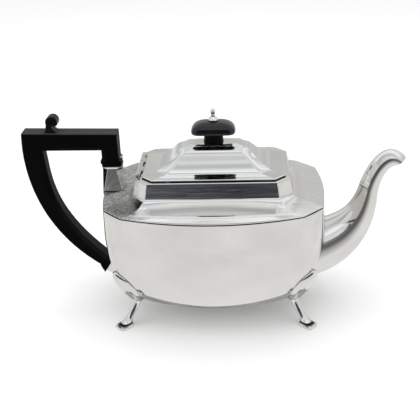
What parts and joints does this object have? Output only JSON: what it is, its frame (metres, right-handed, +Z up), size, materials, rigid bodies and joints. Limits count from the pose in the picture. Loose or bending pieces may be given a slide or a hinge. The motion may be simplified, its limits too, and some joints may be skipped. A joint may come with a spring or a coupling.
{
  "type": "teapot",
  "caption": "Bowed, canted rectangular silver teapot on splayed feet, with a hinged lid, black knob, black square-bar handle and faceted swan-neck spout.",
  "frame": {"origin": "on the table under the centre of the pot", "axes": "+X towards the spout, +Y to the pot's back side, +Z up"},
  "size_m": [0.2802, 0.1224, 0.1579],
  "materials": {
    "polished_silver": "polished silver with fine wiping marks",
    "silver_fittings": "polished silver, a little duller where it is not wiped",
    "handle_black": "satin black moulding",
    "knob_black": "glossy black moulding"
  },
  "bodies": {
    "pot": {"body_shell": "polished_silver", "shoulder_cover": "polished_silver", "hinge_body_leaf": "silver_fittings", "hinge_pin": "silver_fittings", "spout": "polished_silver", "handle_upper_socket": "polished_silver", "handle_lower_socket": "polished_silver", "handle": "handle_black", "handle_upper_pin": "silver_fittings", "handle_lower_pin": "silver_fittings", "thumb_rest": "handle_black", "foot_front_right": "polished_silver", "foot_front_left": "polished_silver", "foot_back_right": "polished_silver", "foot_back_left": "polished_silver"},
    "lid": {"lid": "polished_silver", "lid_bezel": "silver_fittings", "hinge_lid_leaf": "silver_fittings", "knob_neck": "knob_black", "knob_cap": "knob_black", "finial_bolt": "polished_silver", "knob_washer": "silver_fittings", "knob_nut": "silver_fittings"}
  },
  "joints": [
    {"name": "lid_hinge", "type": "hinge", "parent": "pot", "child": "lid", "pos_m": [-0.0534, 0, 0.1153], "axis": [0, -1, 0], "range_deg": [0, 92]}
  ]
}
